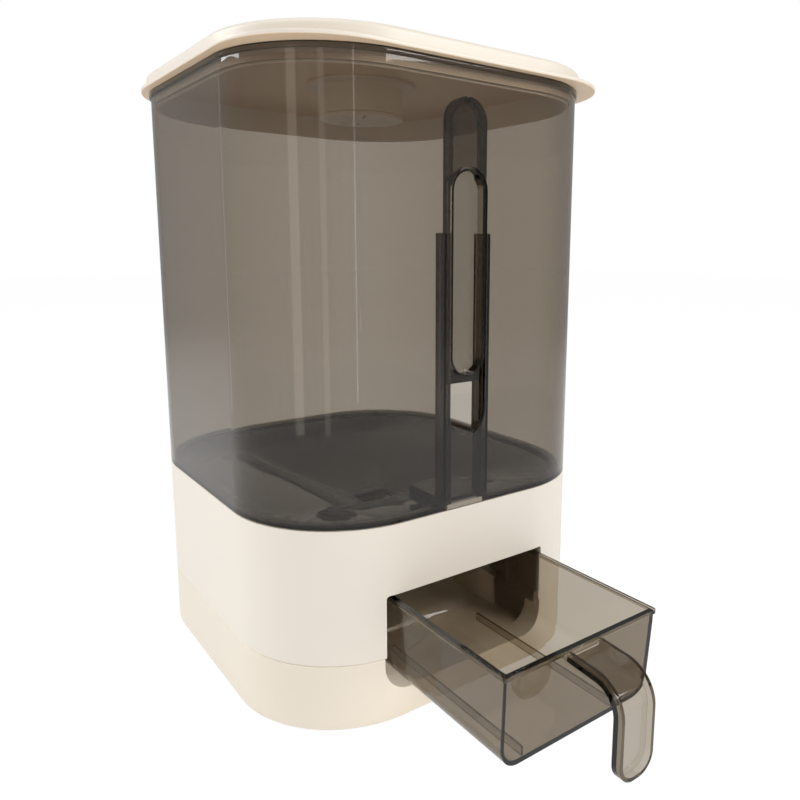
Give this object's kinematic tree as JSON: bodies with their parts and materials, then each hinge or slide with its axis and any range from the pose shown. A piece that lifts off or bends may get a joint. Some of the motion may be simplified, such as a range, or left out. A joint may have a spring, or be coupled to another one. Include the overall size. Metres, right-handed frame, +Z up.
{
  "type": "rice dispenser",
  "caption": "Grain dispenser with a tinted tank, lift-off lid, sliding outlet control and a pull-out drawer in a pale base.",
  "frame": {"origin": "middle of the base's underside, which the soft feet lift a little off the surface", "axes": "+Z up, -Y towards the front with the drawer, +X to the right seen from the front"},
  "size_m": [0.2412, 0.3808, 0.3675],
  "materials": {
    "pale_shell": "fine satin moulding",
    "tinted": "clear smoke-brown, polished",
    "pale_inner": "plain moulding",
    "white_plastic": "plain moulding",
    "soft_white": "matt silicone",
    "soft_grey": "matt",
    "steel": "plated",
    "absorber": "paper wrap"
  },
  "bodies": {
    "base": {"base_plinth": "pale_shell", "base_shell": "pale_shell", "drawer_bed": "pale_inner", "foot_pads": "soft_grey", "base_screws": "steel", "tank": "tinted", "tank_floor": "tinted", "slider_rails": "tinted", "lever_pivot": "steel", "shutter_guides": "white_plastic"},
    "slider": {"outlet_slider": "tinted", "slider_crossbar": "white_plastic"},
    "lever": {"outlet_lever": "white_plastic"},
    "shutter": {"outlet_shutter": "white_plastic"},
    "drawer": {"drawer_tub": "tinted", "drawer_handle": "tinted"},
    "lid": {"lid_shell": "pale_shell", "lid_seal": "soft_white", "absorber_cup": "pale_inner", "absorber_pack": "absorber"},
    "cover": {"absorber_cover": "pale_inner"}
  },
  "joints": [
    {"name": "drawer_slide", "type": "slide", "parent": "base", "child": "drawer", "axis": [0, -1, 0], "range_m": [-0.092, 0.028]},
    {"name": "slider_slide", "type": "slide", "parent": "base", "child": "slider", "axis": [0, 0, -1], "range_m": [0, 0.033]},
    {"name": "lever_turn", "type": "hinge", "parent": "base", "child": "lever", "pos_m": [-0.0035, -0.0765, 0.0965], "axis": [1, 0, 0], "range_deg": [0, 51.6]},
    {"name": "shutter_slide", "type": "slide", "parent": "base", "child": "shutter", "axis": [0, 1, 0], "range_m": [0, 0.0157]},
    {"name": "lid_lift", "type": "slide", "parent": "base", "child": "lid", "axis": [0, 0, 1], "range_m": [0, 0.06]},
    {"name": "cover_twist", "type": "hinge", "parent": "lid", "child": "cover", "pos_m": [0, -0.0046, 0.342], "axis": [0, 0, 1], "range_deg": [0, 30]}
  ],
  "couplings": [
    {"joint": "lever_turn", "follows": "slider_slide", "rad_per_m": 27.21},
    {"joint": "shutter_slide", "follows": "slider_slide", "ratio": 0.4737}
  ]
}
